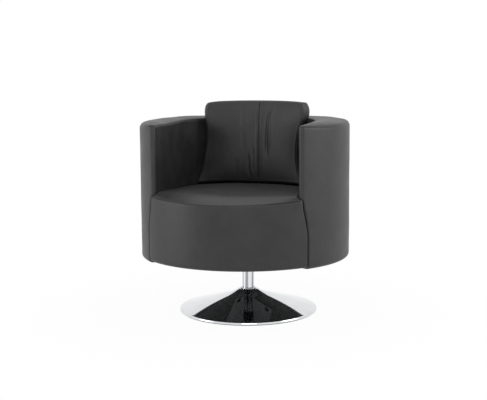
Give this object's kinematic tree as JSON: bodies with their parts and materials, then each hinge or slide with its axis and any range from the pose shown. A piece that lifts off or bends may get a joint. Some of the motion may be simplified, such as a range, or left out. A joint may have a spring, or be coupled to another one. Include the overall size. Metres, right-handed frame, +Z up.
{
  "type": "tub armchair",
  "caption": "Round tub armchair for an office or lounge: black leather tub and seat with a loose back cushion, swivelling on a chromed column and trumpet base.",
  "frame": {"origin": "on the floor, under the centre of the round tub", "axes": "+Z up; the sitter faces -Y; +X is on the sitter's left"},
  "size_m": [0.7, 0.6999, 0.7184],
  "materials": {
    "black_leather": "charcoal black leather with a fine pebbled grain and a soft sheen",
    "chrome_plate": "polished bright chrome plate",
    "zinc_steel": "zinc plated steel",
    "black_steel": "black powder coat",
    "cast_iron": "plain black cast iron",
    "black_rubber": "matt black rubber",
    "nylon": "natural nylon",
    "birch_ply": "birch plywood and beech battens, unfinished",
    "foam": "cream polyurethane foam",
    "fibre_fill": "white fibre filling",
    "black_cloth": "black non-woven cloth and woven tape"
  },
  "bodies": {
    "base": {"trumpet_shell": "chrome_plate", "ballast_plate": "cast_iron", "floor_ring": "black_rubber", "foot_plug": "zinc_steel", "foot_washer": "zinc_steel", "foot_nut": "zinc_steel", "column_tube": "chrome_plate", "neck_collar": "chrome_plate", "lower_bush": "nylon", "upper_bush": "nylon", "lower_race": "zinc_steel", "ball_cage": "nylon", "bearing_balls": "zinc_steel"},
    "seat": {"upper_race": "zinc_steel", "spindle": "zinc_steel", "circlip": "black_steel", "swivel_plate": "black_steel", "plate_bolts": "zinc_steel", "plate_washers": "zinc_steel", "tee_nuts": "zinc_steel", "bottom_board": "birch_ply", "dust_cover": "black_cloth", "bottom_rail": "birch_ply", "top_rail": "birch_ply", "wall_studs": "birch_ply", "outer_skin": "birch_ply", "inner_skin": "birch_ply", "tub_padding": "foam", "tub_cover": "black_leather", "front_skin": "birch_ply", "seat_bearers": "birch_ply", "seat_deck": "birch_ply", "seat_foam": "foam", "seat_cover": "black_leather", "seat_welt": "black_leather"},
    "cushion": {"cushion_fill": "fibre_fill", "cushion_cover": "black_leather", "cushion_zip": "black_cloth"}
  },
  "joints": [
    {"name": "seat_swivel", "type": "hinge", "parent": "base", "child": "seat", "pos_m": [0, 0.035, 0.1], "axis": [0, 0, 1], "continuous": true},
    {"name": "back_cushion_lift", "type": "slide", "parent": "seat", "child": "cushion", "axis": [0, 0, 1], "range_m": [0, 0.3]}
  ]
}
